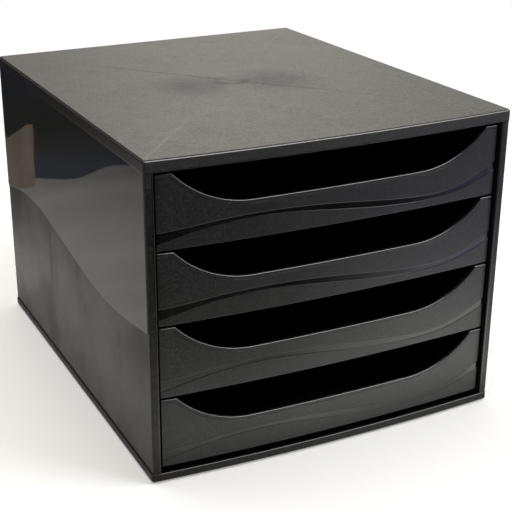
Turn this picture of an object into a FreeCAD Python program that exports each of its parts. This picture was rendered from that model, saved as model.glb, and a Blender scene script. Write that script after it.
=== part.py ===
"""A desk case of stacked document drawers, moulded in dark plastic.

The case is a lid and a base with shallow rims, two side panels, a back panel
and round rubber feet.  Its front is gently bowed in plan.  Each drawer is a
one-piece tray whose front has a long scoop for the hand, a raised lip along
the scoop and a polished wave groove.  The drawers slide on ledges moulded on
the side panels and stop when their lugs meet the front posts.

Frame: millimetres, X to the right, Y from the front to the back, Z up.  The
origin is on the table, under the middle of the whole case.
"""
import FreeCAD
import Part
import math
import os

Vector = FreeCAD.Vector

# ---- Case, outside ----
CASE_WIDTH = 284.0            # across the lid
CASE_DEPTH = 341.5            # front corner to back
FRONT_BOW = 5.5               # the middle of the front stands this far before its corners
CASE_HEIGHT = 235.0           # from under the base to the top of the lid
LID_RIM_HEIGHT = 8.7
BASE_RIM_HEIGHT = 6.0
RIM_STEP = 0.4                # lid and base stand proud of the panels between them
CORNER_RADIUS = 2.0           # upright corners
LID_EDGE_CHAMFER = 0.7        # top edge of the lid
BASE_EDGE_CHAMFER = 1.0       # bottom edge of the base
JOINT_CHAMFER = 0.35          # edges along the joints between the shells

# ---- Case, walls ----
LID_THICKNESS = 2.5
BASE_THICKNESS = 2.5
RIM_THICKNESS = 2.2
SIDE_THICKNESS = 2.2
BACK_THICKNESS = 2.2
POST_WIDTH = 6.8              # front posts, from the outside of the lid's rim
POST_DEPTH = 4.0
POST_EDGE_RADIUS = 0.6
TONGUE_THICKNESS = 1.6        # tongues that plug the panels into lid and base
TONGUE_REACH = 5.0            # into the lid, and as far down its own panel
BASE_TONGUE_REACH = 3.0       # into the base, and as far up its own panel
TONGUE_END = 16.0             # tongues stop this far from the case's corners
LID_RIB_THICKNESS = 1.6       # the lid's crossed ribs, corner to corner underneath
LID_RIB_DEPTH = 3.0
LID_RIB_END = 14.0            # ribs stop this far inside the rim
LID_BOSS_RADIUS = 5.0

# ---- Wave step on each side panel ----
SIDE_WAVE_DEPTH = 0.6         # the panel below the wave is this much thinner
SIDE_WAVE = ((0.0, 114.5), (0.215, 105.9), (0.513, 116.3), (0.802, 126.6), (1.0, 117.2))
# each point: share of the depth from the front, height over the base's underside

# ---- Drawers ----
DRAWER_COUNT = 4
DRAWER_TRAVEL = 250.0
SLIDE_CLEARANCE = 0.3
FACE_GAP_BELOW = 3.8          # lowest face over the base's rim
FACE_GAP_ABOVE = 2.1          # highest face under the lid's rim
FACE_GAP_BETWEEN = 1.6
FACE_SIDE_GAP = 1.95          # each side, from face to post
FACE_RECESS = 2.5             # behind the bowed front
FACE_THICKNESS = 2.5
SCOOP_DEPTH = 25.0
SCOOP_RUN = 57.0              # length of each slope, seen from the front
EAR_WIDTH = 11.3              # level part at each end of the face's top
EAR_CORNER_RADIUS = 2.0
LIP_WIDTH = 2.2               # raised lip along the scoop and over the ears
LIP_RISE = 0.4
LIP_ROUNDING = 0.8            # along the scoop's front edge
FACE_CHAMFER = 0.4            # front edges of the face, beside and below
FACE_WAVE_DEPTH = 0.5
FACE_WAVE_UPPER = ((0.0, 13.6), (0.155, 16.9), (0.3, 18.2), (0.53, 13.4), (0.755, 9.2),
                   (0.87, 11.4), (1.0, 24.9))
FACE_WAVE_LOWER = ((0.0, 6.2), (0.155, 13.6), (0.3, 16.2), (0.53, 8.9), (0.755, 5.4),
                   (0.87, 7.9), (1.0, 18.9))
# each point: share of the face's width from its left edge, height over its lower edge

TRAY_INSET = 1.0              # tray walls stand in from the ends of the face
TRAY_WALL = 1.8
TRAY_FLOOR = 1.8
TRAY_LIFT = 0.8               # tray's underside over the face's lower edge
TRAY_WALL_DROP = 6.4          # tray walls stop this far under the top of the face
TRAY_CORNER_RADIUS = 6.0
TRAY_RIM_WIDTH = 0.9          # stiffening bead outside the tray's upper edge
TRAY_RIM_HEIGHT = 3.0
LUG_LENGTH = 6.0
LUG_HEIGHT = 9.0
LUG_CATCH = 2.0               # overlap of a lug with the post that stops it
LEDGE_BEARING = 3.8           # width of the tray's underside that a ledge carries
LEDGE_THICKNESS = 2.5
LEDGE_LEAD_IN = 2.0           # chamfer at a ledge's front end

# ---- Feet ----
FOOT_RADIUS = 8.0
FOOT_HEIGHT = 1.5
FOOT_INSET = 22.0             # foot centres from the case's sides, front corners and back

# ---- Worked out ----
HALF_WIDTH = CASE_WIDTH / 2
BACK_Y = (CASE_DEPTH + FRONT_BOW) / 2
CORNER_Y = BACK_Y - CASE_DEPTH
BOW_RADIUS = (HALF_WIDTH ** 2 + FRONT_BOW ** 2) / (2 * FRONT_BOW)
BOW_CENTRE_Y = CORNER_Y - FRONT_BOW + BOW_RADIUS
CASE_BOTTOM = FOOT_HEIGHT
CASE_TOP = CASE_BOTTOM + CASE_HEIGHT
PANEL_BOTTOM = CASE_BOTTOM + BASE_RIM_HEIGHT
PANEL_TOP = CASE_TOP - LID_RIM_HEIGHT
PANEL_OUTSIDE_X = HALF_WIDTH - RIM_STEP
PANEL_INSIDE_X = PANEL_OUTSIDE_X - SIDE_THICKNESS
PANEL_BACK_Y = BACK_Y - RIM_STEP
BACK_INSIDE_Y = PANEL_BACK_Y - BACK_THICKNESS
POST_INSIDE_X = HALF_WIDTH - POST_WIDTH
POST_BACK_Y = CORNER_Y + POST_DEPTH

FACE_HALF = POST_INSIDE_X - FACE_SIDE_GAP
FACES_BOTTOM = PANEL_BOTTOM + FACE_GAP_BELOW
FACES_TOP = PANEL_TOP - FACE_GAP_ABOVE
PITCH = (FACES_TOP - FACES_BOTTOM + FACE_GAP_BETWEEN) / DRAWER_COUNT
FACE_HEIGHT = PITCH - FACE_GAP_BETWEEN
FACE_BACK_INSET = FACE_RECESS + FACE_THICKNESS
SCOOP_HALF = FACE_HALF - EAR_WIDTH
SCOOP_RADIUS = (SCOOP_RUN ** 2 + SCOOP_DEPTH ** 2) / (2 * SCOOP_DEPTH)
TRAY_HALF = FACE_HALF - TRAY_INSET
TRAY_BACK_Y = BACK_INSIDE_Y - SLIDE_CLEARANCE
TRAY_HEIGHT = FACE_HEIGHT - TRAY_WALL_DROP - TRAY_LIFT
LEDGE_TOP_RISE = TRAY_LIFT - SLIDE_CLEARANCE
LUG_OUTSIDE_X = POST_INSIDE_X + LUG_CATCH
LUG_FRONT_Y = POST_BACK_Y + SLIDE_CLEARANCE + DRAWER_TRAVEL
MARGIN = 1.0                  # cutters run past what they cut by this much


def face_bottom(level):
    """Height of the lower edge of a drawer's face; level 1 is the top drawer."""
    return FACES_BOTTOM + (DRAWER_COUNT - level) * PITCH


def front_y(x, inset):
    """Y of the bowed front at x, set back by inset."""
    return BOW_CENTRE_Y - math.sqrt((BOW_RADIUS - inset) ** 2 - x ** 2)


def block(x_ends, y_ends, z_ends):
    """A box between three pairs of coordinates."""
    corner = Vector(min(x_ends), min(y_ends), min(z_ends))
    size = [max(ends) - min(ends) for ends in (x_ends, y_ends, z_ends)]
    return Part.makeBox(size[0], size[1], size[2], corner)


def bow_arc(half_width, inset, z):
    """The bowed front as an arc from left to right."""
    end_y = front_y(half_width, inset)
    ends = Vector(-half_width, end_y, z), Vector(half_width, end_y, z)
    return Part.Arc(ends[0], Vector(0, front_y(0, inset), z), ends[1]).toShape()


def extruded(edges, direction):
    """The solid swept by a closed outline."""
    outline = Part.Wire(Part.sortEdges(edges)[0])
    return Part.Face(outline).extrude(direction)


def bowed_slab(half_width, back_y, inset, bottom, height):
    """A slab with a bowed front, straight sides and a straight back."""
    front = bow_arc(half_width, inset, bottom)
    left, right = front.Vertexes[0].Point, front.Vertexes[1].Point
    back_left = Vector(left.x, back_y, bottom)
    back_right = Vector(right.x, back_y, bottom)
    corners = [right, back_right, back_left, left]
    sides = [Part.makeLine(a, b) for a, b in zip(corners, corners[1:])]
    return extruded([front] + sides, Vector(0, 0, height))


def bowed_plate(half_width, inset, thickness, bottom, height):
    """An upright plate that follows the bowed front."""
    front = bow_arc(half_width, inset, bottom)
    back = bow_arc(half_width, inset + thickness, bottom)
    ends = [Part.makeLine(a.Point, b.Point) for a, b in zip(front.Vertexes, back.Vertexes)]
    return extruded([front, back] + ends, Vector(0, 0, height))


def edges_where(shape, test):
    """The edges whose every end passes a test."""
    return [edge for edge in shape.Edges if all(test(vertex.Point) for vertex in edge.Vertexes)]


def upright_edges(shape, test=lambda point: True):
    """The vertical edges whose ends pass a test."""
    def is_upright(edge):
        ends = [vertex.Point for vertex in edge.Vertexes]
        flat_run = math.hypot(ends[0].x - ends[-1].x, ends[0].y - ends[-1].y)
        return len(ends) == 2 and flat_run < 1e-6
    return [edge for edge in edges_where(shape, test) if is_upright(edge)]


def edges_at_height(shape, z):
    """The edges that lie at one height."""
    return edges_where(shape, lambda point: abs(point.z - z) < 1e-6)


def wave_edge(points, start, end, floor, place):
    """A smooth wave through points given as (share from start to end, height over floor)."""
    path = [place(start + share * (end - start), floor + height) for share, height in points]
    curve = Part.BSplineCurve()
    curve.interpolate(path)
    return curve.toShape()


# ---- Lid and base ----

def rimmed_block(bottom, height, chamfers):
    """The outer block of the lid or the base; chamfers gives the cut at each height."""
    outer = bowed_slab(HALF_WIDTH, BACK_Y, 0, bottom, height)
    outer = outer.makeFillet(CORNER_RADIUS, upright_edges(outer))
    for z, chamfer in chamfers.items():
        outer = outer.makeChamfer(chamfer, edges_at_height(outer, z))
    return outer


def rim_hollow(bottom, height):
    """The space inside a rim."""
    return bowed_slab(HALF_WIDTH - RIM_THICKNESS, BACK_Y - RIM_THICKNESS, RIM_THICKNESS, bottom, height)


def crossed_ribs():
    """The ribs that cross under the lid from corner to corner, and the boss where they meet."""
    underside = CASE_TOP - LID_THICKNESS
    reach_x = HALF_WIDTH - RIM_THICKNESS - LID_RIB_END
    back_end = BACK_Y - RIM_THICKNESS - LID_RIB_END
    front_end = CORNER_Y + RIM_THICKNESS + LID_RIB_END
    middle = Vector(0, (back_end + front_end) / 2, underside - LID_RIB_DEPTH)
    length = math.hypot(2 * reach_x, back_end - front_end)
    turn = math.degrees(math.atan2(back_end - front_end, 2 * reach_x))
    ribs = Part.makeCylinder(LID_BOSS_RADIUS, LID_RIB_DEPTH, middle)
    for angle in (turn, -turn):
        corner = middle - Vector(length / 2, LID_RIB_THICKNESS / 2, 0)
        rib = Part.makeBox(length, LID_RIB_THICKNESS, LID_RIB_DEPTH, corner)
        rib.rotate(middle, Vector(0, 0, 1), angle)
        ribs = ribs.fuse(rib)
    return ribs


def top_panel():
    lid = rimmed_block(PANEL_TOP, LID_RIM_HEIGHT, {PANEL_TOP: JOINT_CHAMFER, CASE_TOP: LID_EDGE_CHAMFER})
    lid = lid.cut(rim_hollow(PANEL_TOP, LID_RIM_HEIGHT - LID_THICKNESS))
    return lid.fuse(crossed_ribs())


def foot_centres():
    """Foot names with the middle of each foot on the table."""
    x = HALF_WIDTH - FOOT_INSET
    rows = (("front", CORNER_Y + FOOT_INSET), ("back", BACK_Y - FOOT_INSET))
    return {f"foot_{row}_{side}": Vector(sign * x, y, 0)
            for row, y in rows for side, sign in (("left", -1), ("right", 1))}


def bottom_panel():
    chamfers = {CASE_BOTTOM: BASE_EDGE_CHAMFER, PANEL_BOTTOM: JOINT_CHAMFER}
    base = rimmed_block(CASE_BOTTOM, BASE_RIM_HEIGHT, chamfers)
    return base.cut(rim_hollow(CASE_BOTTOM + BASE_THICKNESS, BASE_RIM_HEIGHT - BASE_THICKNESS))


def foot(centre):
    return Part.makeCylinder(FOOT_RADIUS, FOOT_HEIGHT, centre)


# ---- Side and back panels ----

def side_wave_cut():
    """What the wave step takes off the lower part of the left panel's outside."""
    x = -PANEL_OUTSIDE_X - MARGIN
    start, end = CORNER_Y - MARGIN, BACK_Y + MARGIN
    top = wave_edge(SIDE_WAVE, start, end, CASE_BOTTOM, lambda y, z: Vector(x, y, z))
    front, back = top.Vertexes[0].Point, top.Vertexes[-1].Point
    low = PANEL_BOTTOM - MARGIN
    corners = [back, Vector(x, back.y, low), Vector(x, front.y, low), front]
    sides = [Part.makeLine(a, b) for a, b in zip(corners, corners[1:])]
    return extruded([top] + sides, Vector(MARGIN + SIDE_WAVE_DEPTH, 0, 0))


def ledge(level):
    """The ledge on the left panel that carries one drawer."""
    top = face_bottom(level) + LEDGE_TOP_RISE
    front = front_y(FACE_HALF, FACE_BACK_INSET) + SLIDE_CLEARANCE
    inside_x = -(TRAY_HALF - LEDGE_BEARING)
    bar = block((-PANEL_INSIDE_X, inside_x), (front, BACK_INSIDE_Y), (top - LEDGE_THICKNESS, top))
    nose = upright_edges(bar, lambda point: point.x > inside_x - MARGIN and point.y < front + MARGIN)
    return bar.makeChamfer(LEDGE_LEAD_IN, nose)


def left_side_panel():
    height = PANEL_TOP - PANEL_BOTTOM
    panel = bowed_slab(PANEL_OUTSIDE_X, PANEL_BACK_Y, 0, PANEL_BOTTOM, height)
    strip = block((-HALF_WIDTH, -POST_INSIDE_X), (CORNER_Y - FRONT_BOW, BACK_Y), (0, CASE_TOP))
    panel = panel.common(strip)
    inside = (-PANEL_INSIDE_X, -POST_INSIDE_X + MARGIN)
    panel = panel.cut(block(inside, (POST_BACK_Y, BACK_Y), (0, CASE_TOP)))
    outer_corner = upright_edges(panel, lambda point: point.x < -PANEL_INSIDE_X)
    panel = panel.makeFillet(CORNER_RADIUS, [edge for edge in outer_corner if edge.Vertexes[0].Y < 0])
    post_edge = upright_edges(panel, lambda point: point.x > -POST_INSIDE_X - MARGIN)
    panel = panel.makeFillet(POST_EDGE_RADIUS, [e for e in post_edge if e.Vertexes[0].Y < CORNER_Y])
    panel = panel.cut(side_wave_cut())

    tongue_x = (-PANEL_INSIDE_X, -PANEL_INSIDE_X + TONGUE_THICKNESS)
    tongue_y = (CORNER_Y + TONGUE_END, BACK_Y - TONGUE_END)
    panel = panel.fuse(block(tongue_x, tongue_y, (PANEL_TOP - TONGUE_REACH, PANEL_TOP + TONGUE_REACH)))
    base_tongue_z = (PANEL_BOTTOM - BASE_TONGUE_REACH, PANEL_BOTTOM + BASE_TONGUE_REACH)
    panel = panel.fuse(block(tongue_x, tongue_y, base_tongue_z))
    for level in range(1, DRAWER_COUNT + 1):
        panel = panel.fuse(ledge(level))
    return panel.removeSplitter()


def right_side_panel():
    return left_side_panel().mirror(Vector(0, 0, 0), Vector(1, 0, 0))


def back_panel():
    x = (-PANEL_INSIDE_X, PANEL_INSIDE_X)
    panel = block(x, (BACK_INSIDE_Y, PANEL_BACK_Y), (PANEL_BOTTOM, PANEL_TOP))
    tongue_x = (-HALF_WIDTH + TONGUE_END, HALF_WIDTH - TONGUE_END)
    tongue_y = (BACK_INSIDE_Y - TONGUE_THICKNESS, BACK_INSIDE_Y)
    panel = panel.fuse(block(tongue_x, tongue_y, (PANEL_TOP - TONGUE_REACH, PANEL_TOP + TONGUE_REACH)))
    base_tongue_z = (PANEL_BOTTOM - BASE_TONGUE_REACH, PANEL_BOTTOM + BASE_TONGUE_REACH)
    return panel.fuse(block(tongue_x, tongue_y, base_tongue_z)).removeSplitter()


# ---- Drawers ----

def scoop_prism(bottom, grow, y_ends):
    """The scoop's outline, widened by grow, swept along Y: slopes are arcs that end level."""
    top = bottom + FACE_HEIGHT
    radius = SCOOP_RADIUS + grow
    level_half = SCOOP_HALF - SCOOP_RUN
    centre_z = top - SCOOP_DEPTH + SCOOP_RADIUS
    end_run = math.sqrt(radius ** 2 - (centre_z - top) ** 2)
    half_turn = math.asin(end_run / radius) / 2

    def on_slope(side, turn):
        x = side * (level_half + radius * math.sin(turn))
        return Vector(x, y_ends[0], centre_z - radius * math.cos(turn))
    edges = []
    for side in (-1, 1):
        turns = (0, half_turn, 2 * half_turn)
        edges.append(Part.Arc(*[on_slope(side, turn) for turn in turns]).toShape())
    low = [on_slope(side, 0) for side in (-1, 1)]
    ends = [on_slope(side, 2 * half_turn) for side in (-1, 1)]
    roof = [end + Vector(0, 0, MARGIN) for end in ends]
    edges.append(Part.makeLine(low[0], low[1]))
    edges += [Part.makeLine(a, b) for a, b in ((ends[0], roof[0]), (roof[0], roof[1]), (roof[1], ends[1]))]
    return extruded(edges, Vector(0, y_ends[1] - y_ends[0], 0))


def face_wave_groove(bottom):
    """The polished ribbon between two waves, sunk into the front of the face."""
    start, end = -FACE_HALF - MARGIN, FACE_HALF + MARGIN
    y = front_y(0, 0)
    upper = wave_edge(FACE_WAVE_UPPER, start, end, bottom, lambda x, z: Vector(x, y, z))
    lower = wave_edge(FACE_WAVE_LOWER, start, end, bottom, lambda x, z: Vector(x, y, z))
    ends = [Part.makeLine(a.Point, b.Point) for a, b in zip(upper.Vertexes, lower.Vertexes)]
    ribbon = extruded([upper, lower] + ends, Vector(0, POST_BACK_Y - y, 0))
    skin = bowed_plate(FACE_HALF + MARGIN, FACE_RECESS - MARGIN, FACE_WAVE_DEPTH + MARGIN,
                       bottom, FACE_HEIGHT)
    return ribbon.common(skin)


def tray(bottom):
    """The drawer's floor, side walls and back wall, open at the front for the face."""
    floor = bottom + TRAY_LIFT
    inset = FACE_RECESS + FACE_THICKNESS / 2
    outside = bowed_slab(TRAY_HALF, TRAY_BACK_Y, inset, floor, TRAY_HEIGHT)
    rim_half = TRAY_HALF + TRAY_RIM_WIDTH
    rim_z = floor + TRAY_HEIGHT - TRAY_RIM_HEIGHT
    rim = bowed_slab(rim_half, TRAY_BACK_Y, inset, rim_z, TRAY_RIM_HEIGHT)
    hollow = bowed_slab(TRAY_HALF - TRAY_WALL, TRAY_BACK_Y - TRAY_WALL, FACE_RECESS,
                        floor + TRAY_FLOOR, TRAY_HEIGHT)
    radii = {0: TRAY_CORNER_RADIUS, 1: TRAY_CORNER_RADIUS, 2: TRAY_CORNER_RADIUS - TRAY_WALL}
    rounded = []
    for index, shape in enumerate((outside, rim, hollow)):
        back_edges = upright_edges(shape, lambda point: point.y > 0)
        rounded.append(shape.makeFillet(radii[index], back_edges))
    shell = rounded[0].fuse(rounded[1])
    for sign in (-1, 1):
        lug = block((sign * (TRAY_HALF - TRAY_WALL / 2), sign * LUG_OUTSIDE_X),
                    (LUG_FRONT_Y, LUG_FRONT_Y + LUG_LENGTH),
                    (rim_z + TRAY_RIM_HEIGHT - LUG_HEIGHT, rim_z + TRAY_RIM_HEIGHT))
        shell = shell.fuse(lug)
    return shell.cut(rounded[2])


def on_scoop(point, bottom):
    """Whether a point lies on the top edge of a face: over the ears or down in the scoop."""
    depth = bottom + FACE_HEIGHT - point.z
    if abs(point.x) > SCOOP_HALF - EAR_CORNER_RADIUS:
        return depth < EAR_CORNER_RADIUS
    run = max(abs(point.x) - (SCOOP_HALF - SCOOP_RUN), 0)
    return abs(SCOOP_DEPTH - SCOOP_RADIUS + math.sqrt(SCOOP_RADIUS ** 2 - run ** 2) - depth) < 1e-3


def on_bow(point, inset):
    """Whether a point lies on the bowed front set back by inset."""
    return abs(point.y - front_y(point.x, inset)) < 1e-4


def drawer_face(bottom):
    """The bowed front of a drawer, with its scoop, lip and wave groove."""
    top = bottom + FACE_HEIGHT
    reach = (front_y(0, 0), POST_BACK_Y + MARGIN)
    face = bowed_plate(FACE_HALF, FACE_RECESS, FACE_THICKNESS, bottom, FACE_HEIGHT)
    lower_edge = edges_where(face, lambda point: on_bow(point, FACE_RECESS) and point.z < bottom + MARGIN)
    face = face.makeChamfer(FACE_CHAMFER, lower_edge)
    face = face.makeChamfer(FACE_CHAMFER, upright_edges(face, lambda point: on_bow(point, FACE_RECESS)))
    face = face.cut(face_wave_groove(bottom))
    raised = bowed_plate(FACE_HALF, FACE_RECESS - LIP_RISE, LIP_RISE + FACE_THICKNESS / 2,
                         bottom, FACE_HEIGHT)
    ear_band = block((-HALF_WIDTH, HALF_WIDTH), reach, (top - LIP_WIDTH, CASE_TOP))
    lip = raised.common(scoop_prism(bottom, LIP_WIDTH, reach).fuse(ear_band))
    face = face.fuse(lip).cut(scoop_prism(bottom, 0, reach)).removeSplitter()

    def at_ear_corner(point):
        return abs(abs(point.x) - SCOOP_HALF) < 1e-4 and abs(point.z - top) < 1e-4
    face = face.makeFillet(EAR_CORNER_RADIUS, edges_where(face, at_ear_corner))
    lip_inset = FACE_RECESS - LIP_RISE
    front_rim = edges_where(face, lambda point: on_bow(point, lip_inset) and on_scoop(point, bottom))
    return face.makeFillet(LIP_ROUNDING, front_rim)


def drawer(level):
    bottom = face_bottom(level)
    return drawer_face(bottom).fuse(tray(bottom)).removeSplitter()


def parts():
    """Every node's name with its shape."""
    shapes = {
        "top_panel": top_panel(),
        "bottom_panel": bottom_panel(),
        "left_side_panel": left_side_panel(),
        "right_side_panel": right_side_panel(),
        "back_panel": back_panel(),
    }
    for level in range(1, DRAWER_COUNT + 1):
        shapes[f"drawer_{level}"] = drawer(level)
    for name, centre in foot_centres().items():
        shapes[name] = foot(centre)
    return shapes


os.makedirs("parts", exist_ok=True)
for node, shape in parts().items():
    shape.exportStep(f"parts/{node}.step")
    box = shape.BoundBox
    print(f"{node}: {len(shape.Solids)} solid, valid {shape.isValid()}, {shape.Volume / 1000:.1f} cm3, "
          f"x {box.XMin:.2f} {box.XMax:.2f} y {box.YMin:.2f} {box.YMax:.2f} z {box.ZMin:.2f} {box.ZMax:.2f}")
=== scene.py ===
"""Desk case of four stacked document drawers, dressed in moulded dark plastic.

The shells are worked out as numpy surfaces from the case's own sizes: rings
carried round the case's outline for the lid and the base, plan outlines
carried up for the side panels, and one wrapped grid for each bowed drawer
face with its scoop, lip and wave ribbon.  Lengths are millimetres until a
mesh is made.
"""
import math

import bmesh
import bpy
import numpy as np
from mathutils import Matrix, Vector


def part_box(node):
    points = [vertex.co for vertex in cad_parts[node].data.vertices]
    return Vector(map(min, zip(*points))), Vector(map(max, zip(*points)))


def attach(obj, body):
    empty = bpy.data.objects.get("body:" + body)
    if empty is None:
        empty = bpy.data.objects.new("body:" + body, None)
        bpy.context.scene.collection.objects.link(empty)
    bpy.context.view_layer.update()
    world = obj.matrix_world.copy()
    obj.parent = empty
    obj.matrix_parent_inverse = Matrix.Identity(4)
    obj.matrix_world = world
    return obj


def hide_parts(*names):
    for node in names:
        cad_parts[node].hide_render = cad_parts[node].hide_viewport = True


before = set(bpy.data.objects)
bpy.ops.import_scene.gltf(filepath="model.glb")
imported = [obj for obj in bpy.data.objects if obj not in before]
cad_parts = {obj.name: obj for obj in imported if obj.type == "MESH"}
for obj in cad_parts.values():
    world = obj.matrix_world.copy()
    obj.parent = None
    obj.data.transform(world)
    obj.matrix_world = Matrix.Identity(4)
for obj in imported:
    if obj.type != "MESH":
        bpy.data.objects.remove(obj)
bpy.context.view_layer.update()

MM = 0.001

# ---- Sizes of the case ----
HALF_WIDTH = 142.0
FRONT_CORNER_Y = -168.0
BACK_Y = 173.5
FRONT_BOW = 5.5
CASE_BOTTOM = 1.5
CASE_TOP = 236.5
PANEL_BOTTOM = 7.5
PANEL_TOP = 227.8
RIM_STEP = 0.4
RIM_THICKNESS = 2.2
PLATE_THICKNESS = 2.5
PLATE_LAP = 1.5
CORNER_RADIUS = 2.0
LEAST_RADIUS = 0.25
LID_EDGE = 0.9
LID_STEP = 0.6
LID_GROOVE = 0.15
BASE_EDGE = 1.0
JOINT_EDGE = 0.5
RIB_GAP = 14.0
RIB_THICKNESS = 1.6
RIB_DEPTH = 3.0
RIB_ROUNDING = 0.25
BOSS_RADIUS = 5.0
BOSS_BEVEL = 0.3
SIDE_THICKNESS = 2.2
POST_INSIDE_X = 135.2
POST_BACK_Y = -164.0
POST_EDGE = 0.6
SIDE_WAVE_DEPTH = 0.6
WAVE_EASE = 0.9
# The wave, as (share of the depth from the front, height) points.
SIDE_WAVE = ((0.0, 114.5), (0.215, 105.9), (0.513, 116.3), (0.802, 126.6), (1.0, 117.2))
BACK_THICKNESS = 2.2
BACK_EDGE = 0.3
BAR_BEVEL = 0.3
LEAST_BAR_RADIUS = 0.05
FOOT_RADIUS = 8.0
FOOT_EDGE = 0.5

# ---- Sizes of a drawer ----
DRAWERS = ("drawer_1", "drawer_2", "drawer_3", "drawer_4")
FACE_BOTTOMS = dict(zip(DRAWERS, (173.3, 119.3, 65.3, 11.3)))
FACE_HALF = 133.25
FACE_HEIGHT = 52.4
FACE_INSET = 2.5
FACE_BACK_INSET = 5.0
FACE_EDGE = 0.4
SCOOP_DEPTH = 25.0
SCOOP_FLAT_HALF = 64.95
SCOOP_RADIUS = 77.48
EAR_CORNER = 2.4
LIP_WIDTH = 2.2
LIP_RISE = 0.4
LIP_ROUNDING = 0.8
# The groove below the lip, as (distance below the lip, depth).
LIP_GROOVE = ((0.72, 0), (0.65, 0.06), (0.5, 0.35), (0.15, 0.35), (0.03, 0.1))
END_ROLL = 0.6
END_ROLL_RUN = 7.0
RIBBON_DEPTH = 0.15
# The ribbon's brink, as (rise, share of the depth), and its edges, as (share of the width from the
# left, height) points.
RIBBON_BRINK = ((-0.15, 0), (-0.07, 0.15), (0.07, 0.85), (0.15, 1))
RIBBON_UPPER = ((0.0, 12.5), (0.08, 14.0), (0.155, 15.9), (0.3, 17.4), (0.53, 14.2), (0.755, 9.1),
                (0.87, 11.4), (1.0, 24.9))
RIBBON_LOWER = ((0.0, 4.6), (0.08, 9.4), (0.155, 12.6), (0.3, 14.7), (0.53, 9.4), (0.755, 5.5),
                (0.87, 7.9), (1.0, 18.9))
TRAY_HALF = 132.25
TRAY_WALL = 1.8
TRAY_LIFT = 0.8
TRAY_FLOOR = 2.6
TRAY_TOP = 46.0
TRAY_BACK_Y = 170.6
TRAY_CORNER = 6.0
BEAD_WIDTH = 0.9
BEAD_HEIGHT = 3.0
LUG_Y = (86.3, 92.3)
LUG_OUTSIDE_X = 137.2
LUG_HEIGHT = 9.0
LUG_ROUNDING = 0.5
LEDGE_INSIDE_X = 128.45
LEDGE_RISE = 0.5
LEDGE_THICKNESS = 2.5
LEDGE_LEAD_IN = 2.0
LEDGE_ROUNDING = 0.3
LEDGE_GAP = 0.3
LEDGE_ROOT = 0.3

# ---- Sizes that follow ----
BOW_RADIUS = (HALF_WIDTH ** 2 + FRONT_BOW ** 2) / (2 * FRONT_BOW)
BOW_CENTRE_Y = FRONT_CORNER_Y - FRONT_BOW + BOW_RADIUS
PANEL_X = HALF_WIDTH - RIM_STEP
PANEL_INSIDE_X = PANEL_X - SIDE_THICKNESS
PANEL_BACK_Y = BACK_Y - RIM_STEP
BACK_INSIDE_Y = PANEL_BACK_Y - BACK_THICKNESS
HALF_DEPTH = (BACK_Y - FRONT_CORNER_Y) / 2
MIDDLE_Y = (BACK_Y + FRONT_CORNER_Y) / 2

# ---- Fineness of the surfaces: points or columns in a stretch ----
BOW_POINTS = 121
CORNER_POINTS = 9
STRAIGHT_POINTS = 20
ROUNDING_POINTS = 5
OUTSIDE_POINTS = 140
BOSS_POINTS = 48
FOOT_POINTS = 60
EAR_COLUMNS = 11
EAR_CORNER_COLUMNS = 11
SLOPE_COLUMNS = 63
MIDDLE_COLUMNS = 30
WALL_POINTS = 16
TRAY_CORNER_POINTS = 12
FRONT_POINTS = 30
SHARP_ANGLE = 38

# ---- Numbers of the finishes in a piece's list ----
PLAIN, WORN, FIELD, SATIN = range(4)

# ---- Plastics: linear colours, and the range of the noise that speckles them ----
POLYSTYRENE_IOR = 1.59
RUBBER_IOR = 1.52
CHARCOAL = (0.003, 0.003, 0.003)
CHARCOAL_LIGHT = (0.006, 0.006, 0.0058)
SPECK_DARK = (0.0015, 0.0015, 0.0015)
SPECK_LIGHT = (0.011, 0.0108, 0.0108)
SPECKS = (0.42, 0.64)
LID_DARK = (0.004, 0.0038, 0.0034)
LID_LIGHT = (0.048, 0.046, 0.041)
RUBBER_DARK = (0.010, 0.010, 0.010)
RUBBER_LIGHT = (0.022, 0.021, 0.020)

# Creases of the lid: which diagonal, step in millimetres, added roughness, and how that fades from
# the middle: start and end in metres, share at each.
LID_CREASES = ((1, 0.2, 0.19, (0.03, 0.16, 1, 0.1)),
               (-1, -0.12, -0.05, (0.09, 0.16, 0, 1)))
# Dull flow marks of the lid, also darkened in colour as painted shade: centre from the middle in metres,
# strength.
LID_MARKS_AND_SHADE = ((-0.038, -0.004, 0.9), (0.032, -0.017, 0.8), (-0.118, 0.112, 0.5))

# ---- Studio, in metres ----
PAPER = (0.86, 0.86, 0.86, 1)
PAPER_LIFT = 0.25
WHITE_FROM = (0.3, 0.9)
FLOOR_HALF = 12
FLOOR_BOARD_HALF = 3
FLOOR_BOARD_HEIGHT = 0.0008
FRONT_REACH = 0.174
# Colours that the gloss shows: the table in parts, the dark beyond it, a board, the wall, the silk.
WARM_TABLE = (1.0, 0.95, 0.88)
NIGHT_BLUE = (0.84, 0.9, 1.1)
PALE_TABLE = (1.0, 1.0, 0.955)
VIOLET_TABLE = (0.81, 0.81, 1.3)
CARDBOARD = (1.0, 0.84, 0.66)
BROWN_BOARD = [(-0.257, 0.5, 0.001), (-0.15, 0.5, 0.001), (-0.15, 0.5, 0.05), (-0.23, 0.5, 0.068),
               (-0.252, 0.5, 0.08), (-0.259, 0.5, 0.079)]
EVEN_LIGHT = 0.5
WALL = (1.0, 0.94, 0.85)
SILK = (1.0, 0.995, 0.97)
# Softboxes that only the gloss sees: direction, cosines of their inner and outer edge, radiance.
SOFTBOXES = (((0.25, 0.30, 0.92), 0.93, 0.87, 4.5),
             ((0.37, -0.45, 0.81), 0.975, 0.93, 11.0),
             ((0.84, -0.31, 0.45), 0.95, 0.86, 5.2))
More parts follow.
